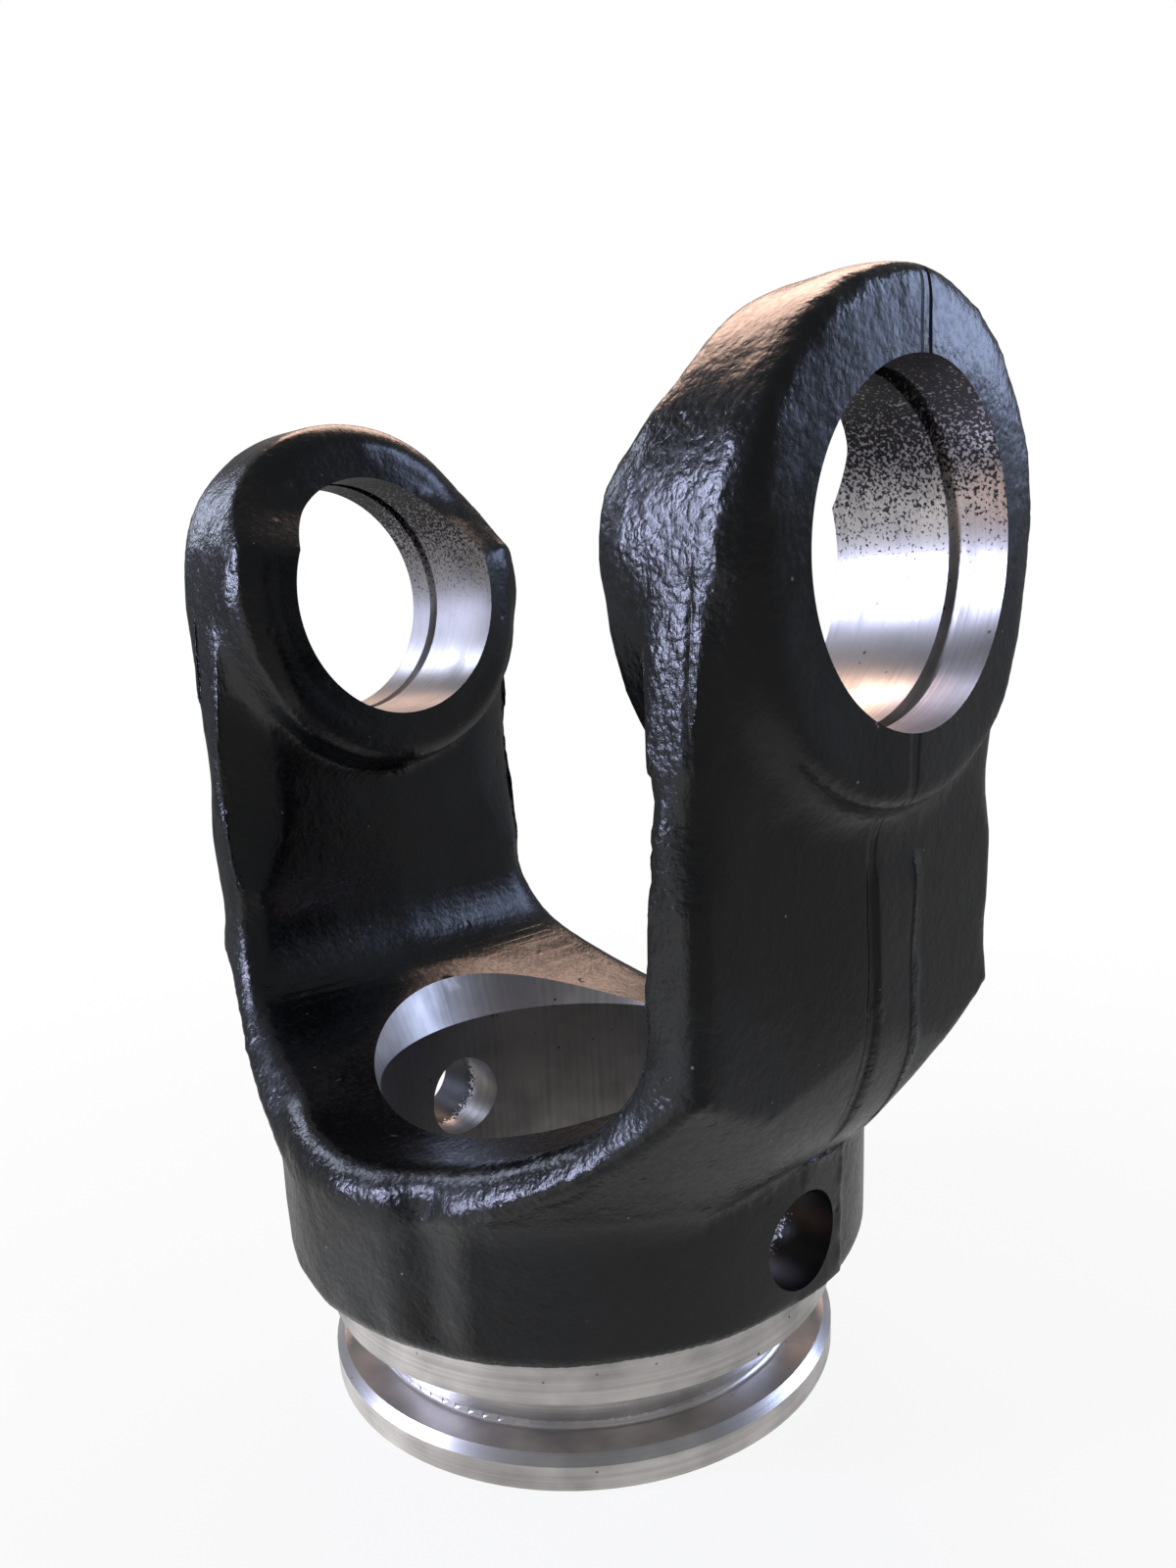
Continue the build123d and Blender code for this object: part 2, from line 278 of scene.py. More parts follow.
output = next(node for node in tree.nodes if node.type == "OUTPUT_MATERIAL")
tree.links.new(ground.outputs[0], output.inputs["Surface"])
floor.data.materials.append(material)
print("floor reaches", FLOOR_REACH, "m")

# %% World and lamps
ROOM_COLOUR, ROOM_LEVEL, ROOM_IN_MIRROR = "#dbe3ee", 0.13, 0.12
world = bpy.data.worlds.new("white_room")
world.use_nodes = True
bpy.context.scene.world = world
tree = world.node_tree
tree.nodes.clear()
clear, mirror = clear_rays(tree)
seen = number(tree, "MAXIMUM", clear, number(tree, "MULTIPLY", mirror, ROOM_IN_MIRROR))
room = add(tree, "ShaderNodeBackground", {"Color": linear(ROOM_COLOUR), "Strength": ROOM_LEVEL})
white = add(tree, "ShaderNodeBackground", {"Color": (1, 1, 1, 1), "Strength": 1.0})
both = add(tree, "ShaderNodeMixShader", {0: seen, 1: room.outputs[0], 2: white.outputs[0]})
add(tree, "ShaderNodeOutputWorld", {"Surface": both.outputs[0]})


def softbox(name, turn, rise, distance, width, height, radiance, colour):
    """A lamp facing the part's middle; a panel of area A gives radiance L at pi * A * L watts."""
    data = bpy.data.lights.new(name, "AREA")
    data.shape = "RECTANGLE"
    data.size, data.size_y = width, height
    data.energy = math.pi * width * height * radiance
    data.color = linear(colour)[:3]
    lamp = bpy.data.objects.new(name, data)
    bpy.context.scene.collection.objects.link(lamp)
    axes = camera_axes(turn, rise, 0)
    lamp.matrix_world = posed(Vector((0, 0, BORE_HEIGHT / 2 * MM)) + axes[2] * distance, axes)
    return lamp


softbox("left_window", -33, 21, 0.80, 0.17, 0.36, 28.0, "#d3daff")
softbox("back_window", 150, 24, 0.80, 0.30, 0.34, 5.6, "#c0d2ff")
softbox("warm_ceiling", -132, 50, 0.90, 0.60, 0.50, 5.4, "#ffd6c0")
softbox("side_window", -78, 30, 0.80, 0.15, 0.26, 6.5, "#dbe4ff")

# %% [markdown]
# ## From CAD facets to a forging skin
# The CAD frame gives exact, flat facets with hard creases. A forging has
# none: steel pressed into a die fills it with soft corners, and scale leaves
# the skin lumpy. The skin is made in three steps on a merged copy of the
# frame's mesh. It is cut into small even triangles, its painted part is
# smoothed, and then each point moves along its normal by layers of noise.
# Cut surfaces stay exact: their new points are put back on the round.

# %% Merge the loose triangles
node = frame["nodes"]["yoke_forging"]


def merged(mesh):
    """Points in millimetres and triangles, with points closer than a micron made one."""
    mesh.calc_loop_triangles()
    points = np.empty(len(mesh.vertices) * 3)
    mesh.vertices.foreach_get("co", points)
    tris = np.empty(len(mesh.loop_triangles) * 3, np.int64)
    mesh.loop_triangles.foreach_get("vertices", tris)
    points = points.reshape(-1, 3) / MM
    microns = np.round(points / MM).astype(np.int64)
    _, first, index = np.unique(microns, axis=0, return_index=True, return_inverse=True)
    tris = index.reshape(-1)[tris].reshape(-1, 3)
    whole = (tris != np.roll(tris, 1, axis=1)).all(axis=1)
    return points[first], tris[whole]


points, tris = merged(node.data)
print("merged points", len(points), "triangles", len(tris))

# %% [markdown]
# A face counts as cut when its corners lie on one of the turned or bored
# profiles. A profile is a line in a half plane: distance along an axis
# against distance from it. The same measure later says how far a painted
# point is from the nearest cut edge, so that the lumps can die out there.

# %% Profiles of the cut surfaces
PAINTED, FOOT, TUBE, EAR_BORE, PIN_BORE = range(5)
quarter = np.linspace(0, np.pi / 2, 5)
race_corner = [
    (FLANGE_TOP + RACE_ROUND * (1 - math.cos(a)), RACE_RADIUS + RACE_ROUND * (1 - math.sin(a))) for a in quarter
]
profiles = {
    FOOT: [
        (0, TUBE_RADIUS), (0, FLANGE_RADIUS - FOOT_CHAMFER), (FOOT_CHAMFER, FLANGE_RADIUS),
        (FLANGE_RIM, FLANGE_RADIUS), (FLANGE_TOP, FLANGE_RADIUS - FLANGE_BEVEL), *race_corner,
        (RACE_TOP, RACE_RADIUS), (RACE_TOP, SEAT_RADIUS), (SEAT_HEIGHT, SEAT_RADIUS),
    ],
    TUBE: [
        (0, TUBE_RADIUS), (TUBE_STRAIGHT, TUBE_RADIUS),
        (TUBE_STRAIGHT + TUBE_CONE_RISE, TUBE_RADIUS + TUBE_CONE_SPREAD),
    ],
    EAR_BORE: [
        (GROOVE_INNER / 2, BORE_RADIUS), (GROOVE_INNER, BORE_RADIUS),
        (GROOVE_INNER, BORE_RADIUS + GROOVE_DEPTH), (GROOVE_OUTER, BORE_RADIUS + GROOVE_DEPTH),
        (GROOVE_OUTER, BORE_RADIUS), (EAR_OUTER, BORE_RADIUS),
    ],
    PIN_BORE: [(TUBE_RADIUS / 2, PIN_RADIUS), (ARM_INNER + GROOVE_DEPTH * 2, PIN_RADIUS)],
}
zone_height = {FOOT: 0, TUBE: 0, EAR_BORE: BORE_HEIGHT, PIN_BORE: PIN_HEIGHT}


def along_and_radius(spots, zone):
    """Distance along a zone's axis and from it: the shaft axis, or a bore axis along X."""
    if zone in (FOOT, TUBE):
        return spots[:, 2], np.hypot(spots[:, 0], spots[:, 1])
    return np.abs(spots[:, 0]), np.hypot(spots[:, 1], spots[:, 2] - zone_height[zone])


def distance_to_cut(spots, zone):
    """Shortest distance in the half plane from each spot to the zone's profile line."""
    flat = np.stack(along_and_radius(spots, zone), axis=1)
    line = np.array(profiles[zone], float)
    nearest = np.full(len(spots), np.inf)
    for start, end in zip(line[:-1], line[1:]):
        run = end - start
        share = np.clip((flat - start) @ run / (run @ run), 0, 1)
        nearest = np.minimum(nearest, np.linalg.norm(flat - start - share[:, None] * run, axis=1))
    return nearest


print("profile points", [len(line) for line in profiles.values()])

# %% Sort the faces into zones
ON_CUT, FACET_SAG = 0.03, 0.25
zones = np.zeros(len(tris), np.int64)
for zone in profiles:
    corner_gap = distance_to_cut(points, zone)[tris].max(axis=1)
    middle_gap = distance_to_cut(points[tris].mean(axis=1), zone)
    zones[(corner_gap < ON_CUT) & (middle_gap < FACET_SAG)] = zone
print("faces in each zone", np.bincount(zones, minlength=5))

# %% [markdown]
# To refine a mesh evenly, an edge is split only where it is the longest of
# one of its triangles and longer than the limit. Then slivers do not get
# worse, and after a few passes every triangle is about the same size. All
# triangles of a pass are handled at once: those with one, two or three split
# edges are turned so that the split edges come first, and cut by a template.

# %% Refine
EDGE_LIMIT = 0.85


def turned_by(rows, first):
    """Each row of three, rotated so that entry `first` comes to the front."""
    return rows[np.arange(len(rows))[:, None], (first[:, None] + np.arange(3)) % 3]


def edges_of(tris, count):
    """Unique edges, and for each triangle the numbers of its three edges."""
    pairs = np.sort(np.stack([tris, np.roll(tris, -1, axis=1)], axis=2), axis=2).reshape(-1, 2)
    _, first, index = np.unique(pairs[:, 0] * count + pairs[:, 1], return_index=True, return_inverse=True)
    return pairs[first], index.reshape(-1, 3)


def middles(points, pairs, pair_zone):
    """Middle of each edge; on a cut surface its radius is the mean of its two ends' radii."""
    a, b = points[pairs[:, 0]], points[pairs[:, 1]]
    middle = (a + b) / 2
    for zone, height in zone_height.items():
        on = pair_zone == zone
        across = np.array([1.0, 1.0, 0.0]) if zone in (FOOT, TUBE) else np.array([0.0, 1.0, 1.0])
        centre = np.array([0.0, 0.0, height])
        out = (middle[on] - centre) * across
        size = np.linalg.norm(out, axis=1)
        want = (along_and_radius(a[on], zone)[1] + along_and_radius(b[on], zone)[1]) / 2
        middle[on] += out * (want / np.maximum(size, ON_CUT) - 1)[:, None]
    return middle


def refine(points, tris, zones, limit):
    """One pass: splits each long edge that is the longest of a painted triangle beside it."""
    pairs, index = edges_of(tris, len(points))
    length = np.linalg.norm(points[pairs[:, 0]] - points[pairs[:, 1]], axis=1)
    split = np.zeros(len(pairs), bool)
    painted = np.flatnonzero(zones == PAINTED)
    split[index[painted, length[index[painted]].argmax(axis=1)]] = True
    split &= length > limit
    pair_zone = np.zeros(len(pairs), np.int64)
    np.maximum.at(pair_zone, index.reshape(-1), np.repeat(zones, 3))
    number = np.full(len(pairs), -1)
    number[split] = len(points) + np.arange(split.sum())
    middle = number[index]
    marked = middle >= 0
    count = marked.sum(axis=1)
    parts, part_zones = [tris[count == 0]], [zones[count == 0]]

    def cut(rows, first, templates):
        corner, half = turned_by(tris[rows], first), turned_by(middle[rows], first)
        six = np.hstack([corner, half])
        parts.extend(six[:, list(template)] for template in templates)
        part_zones.extend([zones[rows]] * len(templates))

    one, two, three = (count == n for n in (1, 2, 3))
    cut(one, marked[one].argmax(axis=1), [(0, 3, 2), (3, 1, 2)])
    cut(two, (marked[two].argmin(axis=1) + 1) % 3, [(3, 1, 4), (0, 3, 4), (0, 4, 2)])
    cut(three, np.zeros(three.sum(), int), [(0, 3, 5), (3, 1, 4), (5, 4, 2), (3, 4, 5)])
    grown = np.vstack([points, middles(points, pairs[split], pair_zone[split])])
    return grown, np.vstack(parts), np.concatenate(part_zones), int(split.sum())


for _ in range(16):
    points, tris, zones, added = refine(points, tris, zones, EDGE_LIMIT)
    if added == 0:
        break
print("refined points", len(points), "triangles", len(tris))

# %% [markdown]
# Smoothing pulls each point towards the mean of its neighbours, which also
# shrinks a shape. So each pull is followed by a slightly stronger push, the
# pair that keeps the size and takes out only the short ripples and creases.
# A pull of one sign for the first few rounds softens the CAD's hard bends.

# %% Smooth the painted skin
PULL, PUSH = 0.55, -0.57
BODY_ROUNDS = [PULL] * 8 + [PULL, PUSH] * 10
FORK_ROUNDS = [PULL] * 10 + [PULL, PUSH] * 12
FORK_FROM, FORK_FULL = 46.0, 56.0
FLANK_ROUNDS = [PULL] * 44
FLANK_FROM, FLANK_FULL = 14.0, 19.0
pairs, _ = edges_of(tris, len(points))
neighbours = np.bincount(pairs.reshape(-1), minlength=len(points))


def neighbour_mean(values):
    """Mean of each point's neighbours, for a table with one row a point."""
    total = np.empty_like(values)
    for k in range(values.shape[1]):
        total[:, k] = (np.bincount(pairs[:, 0], values[pairs[:, 1], k], len(values))
                       + np.bincount(pairs[:, 1], values[pairs[:, 0], k], len(values)))
    return total / neighbours[:, None]


def smoothstep(values, low, high):
    """0 below low, 1 above high, and 3t^2 - 2t^3 between them."""
    t = np.clip((values - low) / (high - low), 0, 1)
    return t * t * (3 - 2 * t)


cut_point = np.zeros(len(points), bool)
cut_point[tris[zones != PAINTED]] = True
free = (~cut_point).astype(float)[:, None]
for strength in BODY_ROUNDS:
    points = points + free * strength * (neighbour_mean(points) - points)
fork = free * smoothstep(points[:, 2], FORK_FROM, FORK_FULL)[:, None]
for strength in FORK_ROUNDS:
    points = points + fork * strength * (neighbour_mean(points) - points)
on_flank = smoothstep(np.abs(points[:, 1]), FLANK_FROM, FLANK_FULL)
on_flank *= 1 - smoothstep(points[:, 2], BORE_HEIGHT - 4, BORE_HEIGHT + 10)
flank = fork * on_flank[:, None]
for strength in FLANK_ROUNDS:
    points = points + flank * strength * (neighbour_mean(points) - points)
print("painted points", int(free.sum()))

# %% [markdown]
# The skin breaks up most on rounded edges and on the faces that slid along
# the die's walls. Where the neighbours' normals spread, their mean is shorter
# than one, and that tells how sharply the skin bends. Near cut edges all
# lumps fade out, so that the edges stay clean.

# %% Normals and how sharply the skin bends
FULL_BEND, FADE_NEAR_CUT = 0.035, 2.0
SLID_FROM, SLID_FULL = 0.45, 0.95


def point_normals(points, tris):
    """Area-weighted mean of the normals of the faces at each point."""
    a, b, c = (points[tris[:, k]] for k in range(3))
    face = np.cross(b - a, c - a)
    total = np.stack([
        sum(np.bincount(tris[:, k], face[:, axis], len(points)) for k in range(3)) for axis in range(3)
    ], axis=1)
    return total / np.maximum(np.linalg.norm(total, axis=1), 1e-12)[:, None]


normals = point_normals(points, tris[zones == PAINTED])
weighted = np.column_stack([normals, np.linalg.norm(normals, axis=1)])
for _ in range(4):
    weighted = neighbour_mean(weighted)
spread = weighted[:, :3] / np.maximum(weighted[:, 3:], 1e-6)
bend = np.clip((1 - np.linalg.norm(spread, axis=1)) / FULL_BEND, 0, 1)
cut_gap = np.min([distance_to_cut(points, zone) for zone in profiles], axis=0)
fade = np.clip(cut_gap / FADE_NEAR_CUT, 0, 1)
fade *= free[:, 0]
across_die = np.abs(spread[:, 1]) / np.maximum(np.linalg.norm(spread, axis=1), 1e-9)
coarse_skin = np.clip(0.9 * smoothstep(across_die, SLID_FROM, SLID_FULL) + 0.7 * bend, 0, 1) * free[:, 0]
print("points on a bend", int((bend > 0.5).sum()))

# %% [markdown]
# The two dies part on the plane between the ears' halves, so every inner
# face leans away from that plane on both sides, by a degree or two, or the
# forging would not leave the die. That lean gives the soft vertical crease in
# the middle of each arm and splits its reflection in two.

# %% Lean the inner faces
INNER_LEAN = math.tan(math.radians(1.8))
FACING_FROM, FACING_SPAN = 0.35, 0.4
inward = -np.sign(points[:, 0]) * normals[:, 0]
facing = np.clip((inward - FACING_FROM) / FACING_SPAN, 0, 1) * (points[:, 2] > FLOOR_HEIGHT)
lean = facing * fade * np.abs(points[:, 1]) * INNER_LEAN
points[:, 0] += np.sign(points[:, 0]) * lean
print("largest lean", round(float(lean.max()), 2), "mm")

# %% [markdown]
# Hot steel and scale leave shallow lumps of several sizes: waves as wide as
# a finger tip, and hammered-looking dents of a few millimetres that are
# deepest on the rounded edges, where the scale breaks up in the die. Each
# layer is lattice noise: random values at the corners of cubes, blended
# between them with a smooth step. A row of LUMPS is the size of a layer, its
# height everywhere, and its extra height on coarse skin.

# %% Lumps
LUMPS = ((11.0, 0.11, 0.0), (4.2, 0.03, 0.09), (2.0, 0.012, 0.035))


def lumps(spots, size, seed):
    """Noise from -1 to 1: corner values of cubes of that size, blended by 3t^2 - 2t^3 along each axis."""
    grid = spots / size + seed * 17.31
    cell = np.floor(grid)
    t = grid - cell
    t = t * t * (3 - 2 * t)
    value = np.zeros(len(spots))
    for corner in np.ndindex(2, 2, 2):
        c = cell + corner
        random = np.sin(c @ np.array([127.1, 311.7, 74.7]) + seed) * 43758.5453
        weight = np.prod(np.where(corner, t, 1 - t), axis=1)
        value += weight * (random - np.floor(random))
    return 2 * value - 1


lift = np.zeros(len(points))
for seed, (size, everywhere, when_coarse) in enumerate(LUMPS, 1):
    lift += (everywhere + when_coarse * coarse_skin) * lumps(points, size, seed)
print("lift from", round(float(lift.min()), 2), "to", round(float(lift.max()), 2), "mm")

# %% [markdown]
# Where the dies met, metal squeezed out and was sheared off. On the outer
# face of each arm this leaves a flat strip that stands a little proud, with
# the die line on one side and a torn edge on the other. The hub's front has a
# shallow upright fold. A row of FOLD_WAVES is one bell-shaped wave across it:
# where it lies along the hub's round, its width and its height.

# %% Trimmed flash and the fold in the hub
DIE_LINE, TORN_EDGE, STRIP_TOP = -0.9, 6.1, 58.0
STRIP_HEIGHT, TORN_HEIGHT, TORN_WIDTH = 0.30, 0.34, 0.75
WANDER, WANDER_SIZE, TORN_SIZE = 0.60, 5.0, 2.2
FOLD_TURN, FOLD_REACH, FOLD_RISE = 23.0, 12.0, 3.5
FOLD_WAVES = ((0.0, 2.3, -0.70), (-4.2, 1.8, 0.20), (4.0, 1.6, 0.15))
outward = np.sign(points[:, 0]) * spread[:, 0]
outer_face = smoothstep(outward, 0.75, 0.9) * (np.abs(points[:, 0]) > ARM_INNER)
below_ear = 1 - smoothstep(points[:, 2], STRIP_TOP, STRIP_TOP + 3)
side = points[:, 1] - WANDER * lumps(points * [0, 0, 1] + [0, 40, 0], WANDER_SIZE, 4)
strip = smoothstep(side, DIE_LINE, DIE_LINE + 0.9) * (1 - smoothstep(side, TORN_EDGE, TORN_EDGE + 0.8))
torn = np.exp(-((side - TORN_EDGE) / TORN_WIDTH) ** 2) * (0.4 + 0.6 * lumps(points, TORN_SIZE, 5))
lift += outer_face * below_ear * (STRIP_HEIGHT * strip + TORN_HEIGHT * torn)
turn = np.degrees(np.arctan2(points[:, 0], -points[:, 1]))
radius = np.hypot(points[:, 0], points[:, 1])
arc = np.radians(turn - FOLD_TURN) * radius
on_hub = (radius > SEAT_RADIUS) * (1 - smoothstep(points[:, 2], FLOOR_HEIGHT - 2, FLOOR_HEIGHT + 1))
on_hub *= smoothstep(points[:, 2], SEAT_HEIGHT, SEAT_HEIGHT + FOLD_RISE) * (np.abs(arc) < FOLD_REACH)
lift += on_hub * sum(height * np.exp(-((arc - spot) / width) ** 2) for spot, width, height in FOLD_WAVES)
points += normals * (lift * fade)[:, None]
low, high = (np.array(corner) / MM for corner in cad_box)
points = np.clip(points, low, high)
print("deepest lift", round(float(lift.min()), 2), "highest", round(float(lift.max()), 2), "mm")

# %% Put the skin into a mesh
def mesh_object(name, points, tris, zones, skin):
    """An object at the origin from points and triangles, a finish number on each face; `skin` is kept as an
    attribute.
    """
    mesh = bpy.data.meshes.new(name)
    mesh.vertices.add(len(points))
    mesh.vertices.foreach_set("co", (points * MM).reshape(-1))
    mesh.loops.add(len(tris) * 3)
    mesh.loops.foreach_set("vertex_index", tris.reshape(-1))
    mesh.polygons.add(len(tris))
    mesh.polygons.foreach_set("loop_start", np.arange(len(tris)) * 3)
    mesh.polygons.foreach_set("material_index", zones)
    mesh.update(calc_edges=True)
    mesh.validate()
    mesh.attributes.new("coarse_skin", "FLOAT", "POINT").data.foreach_set("value", skin.astype(np.float32))
    piece = bpy.data.objects.new(name, mesh)
    bpy.context.scene.collection.objects.link(piece)
    return piece


yoke = mesh_object("forged_yoke", points, tris, zones, coarse_skin)
print("yoke has", len(yoke.data.polygons), "faces before thinning")

# %% [markdown]
# The CAD's narrow fillet strips leave far more triangles than the lumps need.
# Decimate merges the ones that matter least. A vertex group keeps it off the
# cut surfaces, so that the bores and the foot stay exactly round.

# %% Thin the skin
FACE_LIMIT = 188000
SKIN_CREASE, CUT_CREASE = math.radians(32), math.radians(13)


def thin(piece, movable, limit):
    """Collapses edges of the movable points until about `limit` faces are left."""
    group = piece.vertex_groups.new(name="forging_skin")
    group.add(np.flatnonzero(movable).tolist(), 1.0, "REPLACE")
    modifier = piece.modifiers.new("thin", "DECIMATE")
    modifier.vertex_group = group.name
    modifier.ratio = min(1.0, limit / len(piece.data.polygons))
    seen = piece.evaluated_get(bpy.context.evaluated_depsgraph_get())
    thinned = bpy.data.meshes.new_from_object(seen)
    piece.modifiers.clear()
    piece.vertex_groups.clear()
    piece.data = thinned
    thinned.shade_smooth()
    thinned.set_sharp_from_angle(angle=SKIN_CREASE)


def crease_cut_faces(mesh, angle):
    """Marks edges between two cut faces as sharp where their normals differ by more than the angle."""
    edge = np.empty(len(mesh.loops), np.int32)
    mesh.loops.foreach_get("edge_index", edge)
    zone = np.empty(len(mesh.polygons), np.int32)
    mesh.polygons.foreach_get("material_index", zone)
    normal = np.empty(len(mesh.polygons) * 3, np.float32)
    mesh.polygons.foreach_get("normal", normal)
    order = np.argsort(edge, kind="stable")
    paired = np.flatnonzero(edge[order][:-1] == edge[order][1:])
    face = np.stack([order[paired], order[paired + 1]], axis=1) // 3
    both_cut = (zone[face] != PAINTED).all(axis=1)
    normal = normal.reshape(-1, 3)
    turn = np.einsum("ij,ij->i", normal[face[:, 0]], normal[face[:, 1]])
    crease = edge[order][paired[both_cut & (turn < math.cos(angle))]]
    sharp = mesh.attributes.get("sharp_edge") or mesh.attributes.new("sharp_edge", "BOOLEAN", "EDGE")
    marks = np.zeros(len(mesh.edges), bool)
    sharp.data.foreach_get("value", marks)
    marks[crease] = True
    sharp.data.foreach_set("value", marks)
    return len(crease)


thin(yoke, ~cut_point, FACE_LIMIT)
print("creases between cut faces", crease_cut_faces(yoke.data, CUT_CREASE))
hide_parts("yoke_forging")
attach(yoke, "root")
print("yoke has", len(yoke.data.polygons), "faces")

# %% [markdown]
# ## Black enamel on forging skin
# The paint is a sprayed gloss enamel, a dark plastic film over rough steel.
# Its colour is nearly nothing: what shows is its clear mirror, broken by the
# skin under it. So the work goes into roughness and height. A fine orange
# peel, a grain like fine leather, and scattered pits each have their size in
# millimetres, and dust and scuffs lift the colour a little. Heights are
# multiples of one bump height, and a pair gives them on plain and on coarse
# skin.

# %% Enamel
PAINT_DEEP, PAINT_SCUFFED, PAINT_WORN, PAINT_DUST = "#060809", "#131719", "#34383a", "#8d8f90"
PAINT_IN_LINE = "#060607"
GRAIN_MM, PEEL_MM, PIT_MM, DUST_MM, CLOUD_MM = 0.55, 1.7, 3.2, 1.9, 13.0
RAG_MM, LINE_WANDER_MM = 1.1, 7.0
BUMP_MM, PEEL_HEIGHTS, GRAIN_HEIGHTS = 0.10, (0.6, 1.7), (0.30, 0.85)
PIT_DEPTH, LINE_DEPTH, RAG_HEIGHT = 0.5, 3.4, 4.5
PIT_RIM, PIT_PICK, DUST_RIM, DUST_PICK = (0.06, 0.20), (0.62, 0.66), (0.03, 0.09), (0.80, 0.82)
LINE_RIM, LINE_UNDER_BORE, RAG_RIM, OUTSIDE = (0.28, 0.75), 0.35, (0.3, 1.0), (33.5, 35.0)
PAINT_SMOOTH, PAINT_ROUGH, PAINT_IOR = 0.21, 0.34, 1.5


def black_enamel():
    """Gloss enamel over forging skin: three heights, a cloudy scuff, dust, die line and torn edge."""
    material, tree, shader, place = new_material("black_enamel_on_forging_skin")

    def of(operation, a, b=0.0):
        return number(tree, operation, a, b)

    def smooth(value, low, high, to_low=0.0, to_high=1.0):
        return ranged(tree, value, low, high, to_low, to_high, "SMOOTHSTEP")

    cloud = noise(tree, place, CLOUD_MM, 4.0)
    grain = noise(tree, place, GRAIN_MM, 3.0)
    pit = spots(tree, place, PIT_MM, PIT_RIM, PIT_PICK, 0, "SMOOTHSTEP")
    dust = spots(tree, place, DUST_MM, DUST_RIM, DUST_PICK, 1, "SMOOTHSTEP")
    coarse = add(tree, "ShaderNodeAttribute", attribute_name="coarse_skin").outputs["Fac"]

    xyz = add(tree, "ShaderNodeSeparateXYZ", {0: place}).outputs
    wander = of("SUBTRACT", noise(tree, place, LINE_WANDER_MM), 0.5)
    side = of("ADD", of("SUBTRACT", xyz[1], DIE_LINE), wander)
    outside = smooth(of("ABSOLUTE", xyz[0]), *OUTSIDE)
    line = of("MULTIPLY", smooth(of("ABSOLUTE", side), *LINE_RIM, 1, 0), outside)
    line = of("MULTIPLY", line, smooth(xyz[2], BORE_HEIGHT, BORE_HEIGHT + 1, LINE_UNDER_BORE, 1))
    edge = of("ABSOLUTE", of("SUBTRACT", side, TORN_EDGE - DIE_LINE))
    rag = of("MULTIPLY", smooth(edge, *RAG_RIM, 1, 0), outside)
    rag = of("MULTIPLY", rag, smooth(xyz[2], STRIP_TOP, STRIP_TOP + 3, 1, 0))

    colour = blended(tree, smooth(cloud, 0.42, 0.72), linear(PAINT_DEEP), linear(PAINT_SCUFFED))
    colour = blended(tree, of("MULTIPLY", rag, 0.5), colour, linear(PAINT_WORN))
    colour = blended(tree, line, colour, linear(PAINT_IN_LINE))
    colour = blended(tree, dust, colour, linear(PAINT_DUST))
    tree.links.new(colour, shader.inputs["Base Color"])
    rough = smooth(of("ADD", cloud, grain), 0.75, 1.25, PAINT_SMOOTH, PAINT_ROUGH)
    tree.links.new(rough, shader.inputs["Roughness"])
    shader.inputs["IOR"].default_value = PAINT_IOR

    height = of("MULTIPLY", noise(tree, place, PEEL_MM), smooth(coarse, 0, 1, *PEEL_HEIGHTS))
    height = of("ADD", height, of("MULTIPLY", grain, smooth(coarse, 0, 1, *GRAIN_HEIGHTS)))
    height = of("SUBTRACT", height, of("MULTIPLY", pit, PIT_DEPTH))
    height = of("SUBTRACT", height, of("MULTIPLY", line, LINE_DEPTH))
    rags = of("MULTIPLY", noise(tree, place, RAG_MM, 4.0), RAG_HEIGHT)
    height = of("ADD", height, of("MULTIPLY", rag, rags))
    bump = add(tree, "ShaderNodeBump", {"Height": height, "Strength": 1.0, "Distance": BUMP_MM * MM})
    tree.links.new(bump.outputs[0], shader.inputs["Normal"])
    return material


print("orange peel up to", round(BUMP_MM * PEEL_HEIGHTS[1], 2), "mm high")

# %% [markdown]
# ## Bright cut steel
# Turning, boring and broaching each leave fine grooves along the tool's way.
# On the foot they run round the shaft, in the ear bores round the bore, and
# in the tube bore straight up. The steel's mirror is stretched across them.
# One recipe serves them all, and only the direction of the grooves changes.
# A groove of a few hundredths would not show at this size, so the lines are
# drawn three to five times as coarse as they are. Paint spray reaches into
# the open bores as a speckle. The straight tube bore is painted darker than
# its cone: painted shade for the dark inside of the bore.

# %% Cut steel
STEEL_BRIGHT, STEEL_DULL, STEEL_SPECK, OVERSPRAY = "#d4d0ce", "#a3a09e", "#2e2927", "#0c0d0f"
SPECK_MM, STAIN_MM, SPRAY_MM = 1.7, 6.0, 0.30
SPECK_RIM, SPECK_PICK = (0.05, 0.13), (0.80, 0.82)
SPRAY_START, SPRAY_EDGE = 0.26, (-0.02, 0.07)
STAINED, ROUGH_SPREAD, BORE_PAINTED_SHADE = (0.55, 1.0), 0.14, 0.38


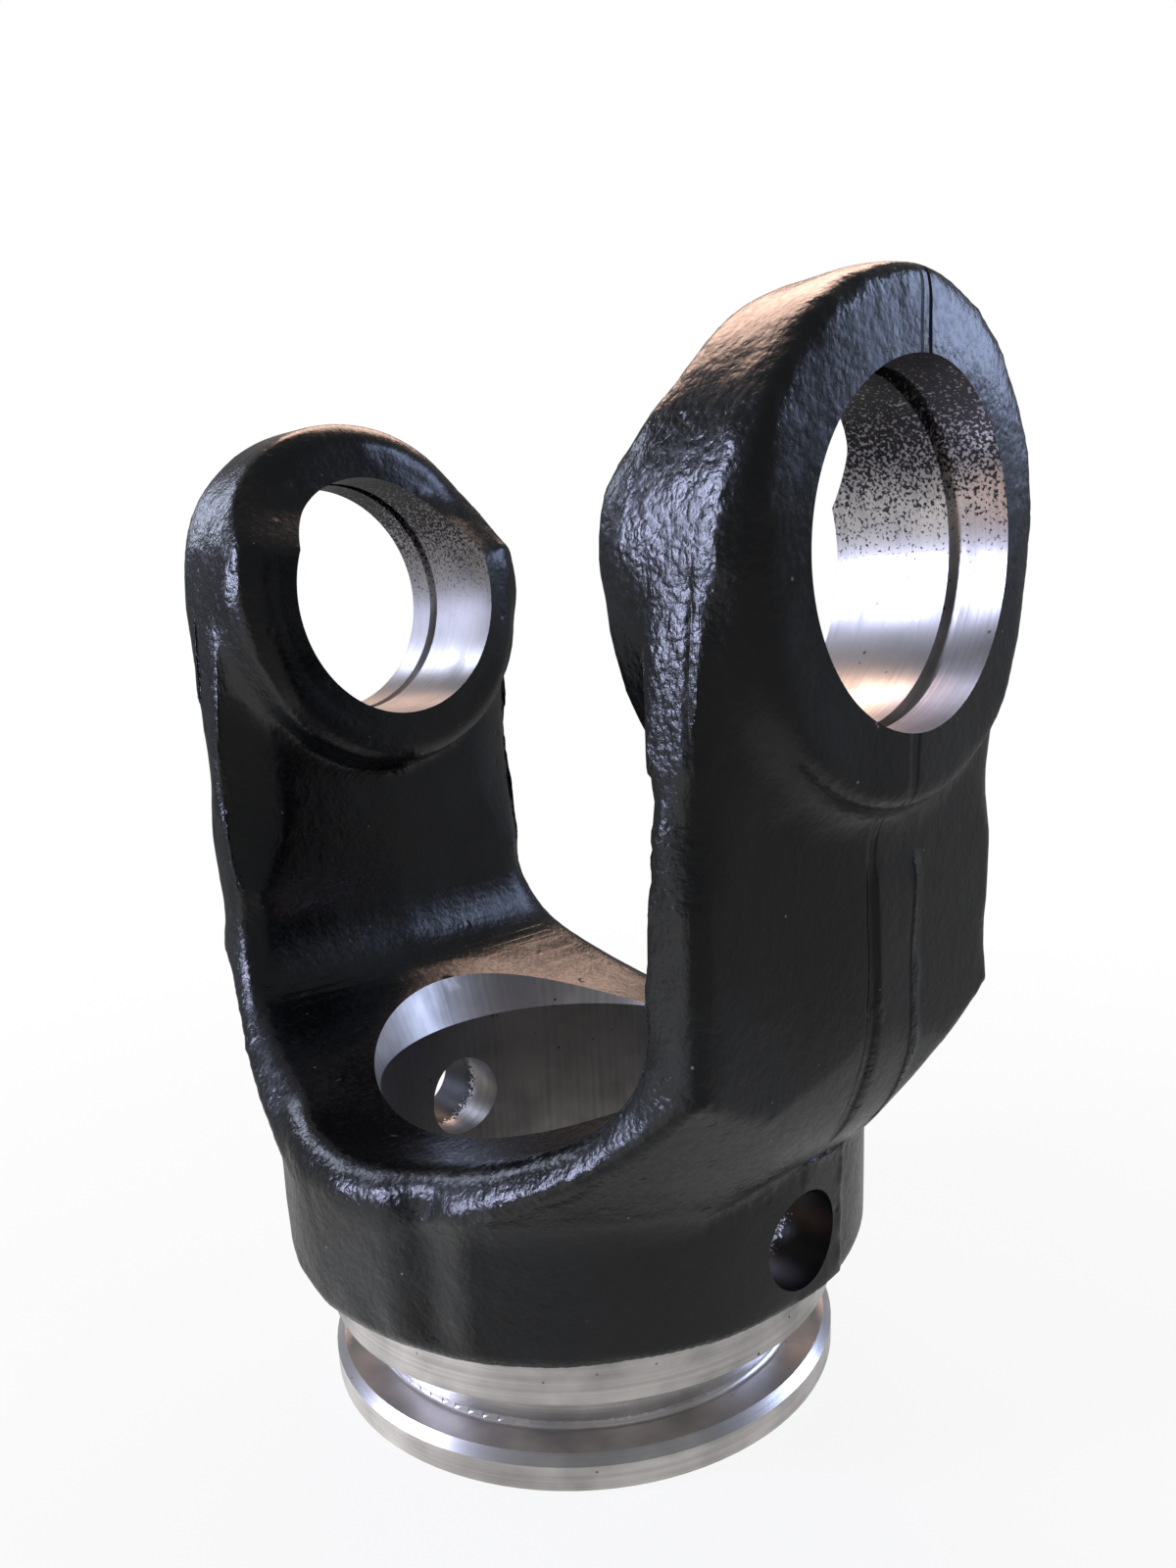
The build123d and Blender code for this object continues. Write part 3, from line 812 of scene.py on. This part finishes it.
def cut_steel(name, stretch, roughness, around=False, groove=0.02, sprayed=None, spray_axis=2,
              painted_light_gain=1.0, painted_shade_below=0.0):
    """
    Steel with tool lines: noise squeezed by `stretch` on each axis, or on arc and height if `around`.
    `sprayed` gives where paint speckle starts, where it ends, and how dense it is there.
    """
    material, tree, shader, place = new_material(name)
    xyz = add(tree, "ShaderNodeSeparateXYZ", {0: place}).outputs
    way = place
    if around:
        arc = number(tree, "MULTIPLY", number(tree, "ARCTAN2", xyz[1], xyz[0]), TUBE_RADIUS)
        way = add(tree, "ShaderNodeCombineXYZ", {0: arc, 2: xyz[2]}).outputs[0]
    squeezed = add(tree, "ShaderNodeVectorMath", {0: way, 1: stretch}, operation="MULTIPLY").outputs[0]
    lines = noise(tree, squeezed, 1.0, 4.0)
    stain = number(tree, "ADD", number(tree, "MULTIPLY", lines, 0.5), noise(tree, place, STAIN_MM, 3.0))
    dull = ranged(tree, stain, *STAINED)
    # The gain scales the steel's colour; above one it is painted light, a lighter copy of the same steel.
    bright, dark = (tuple(c * painted_light_gain for c in linear(h)[:3]) + (1,) for h in (STEEL_BRIGHT, STEEL_DULL))
    speck = spots(tree, place, SPECK_MM, SPECK_RIM, SPECK_PICK)
    colour = blended(tree, speck, blended(tree, dull, bright, dark), linear(STEEL_SPECK))
    # Below that height the colour is multiplied down: painted shade for the dark straight part of the tube
    # bore.
    if painted_shade_below:
        low = number(tree, "LESS_THAN", xyz[2], painted_shade_below)
        colour = blended(tree, low, colour, (BORE_PAINTED_SHADE, BORE_PAINTED_SHADE, BORE_PAINTED_SHADE, 1), "MULTIPLY")
    shader.inputs["Metallic"].default_value = 1.0
    if sprayed:
        start, end, density = sprayed
        reach = ranged(tree, number(tree, "ABSOLUTE", xyz[spray_axis]), start, end, SPRAY_START, density)
        paint = number(tree, "SUBTRACT", reach, noise(tree, place, SPRAY_MM, 3.0))
        paint = ranged(tree, paint, *SPRAY_EDGE)
        colour = blended(tree, paint, colour, linear(OVERSPRAY))
        tree.links.new(number(tree, "SUBTRACT", 1.0, paint), shader.inputs["Metallic"])
    tree.links.new(colour, shader.inputs["Base Color"])
    rough = ranged(tree, dull, 0.0, 1.0, roughness, roughness + ROUGH_SPREAD)
    tree.links.new(rough, shader.inputs["Roughness"])
    bump = add(tree, "ShaderNodeBump", {"Height": lines, "Strength": 1.0, "Distance": groove * MM})
    tree.links.new(bump.outputs[0], shader.inputs["Normal"])
    return material


print("steel reflects", [round(value, 2) for value in linear(STEEL_BRIGHT)[:3]])

# %% Hang the finishes on the zones
ACROSS, ALONG = 3.2, 0.03
# The foot, the tube bore and the pin hole get a colour gain above one: painted light on bright steel.
finishes = {
    PAINTED: black_enamel(),
    FOOT: cut_steel("turned_steel_foot", (ALONG, ALONG, ACROSS), 0.26, painted_light_gain=1.22),
    TUBE: cut_steel("broached_steel_tube_bore", (ACROSS / 2, 0, ALONG), 0.34, around=True, painted_light_gain=1.2,
                    painted_shade_below=TUBE_STRAIGHT),
    EAR_BORE: cut_steel(
        "bored_steel_ear", (ACROSS, ALONG, ALONG), 0.30, groove=0.009,
        sprayed=(BORE_HEIGHT - BORE_RADIUS / 3, BORE_HEIGHT + BORE_RADIUS, 0.68),
    ),
    PIN_BORE: cut_steel(
        "drilled_steel_pin_hole", (ACROSS, ALONG, ALONG), 0.36,
        sprayed=(TUBE_RADIUS + 3.0, TUBE_RADIUS + 7.0, 0.95), spray_axis=0, painted_light_gain=1.25,
    ),
}
for zone in sorted(finishes):
    yoke.data.materials.append(finishes[zone])
print("finishes", [m.name for m in yoke.data.materials])
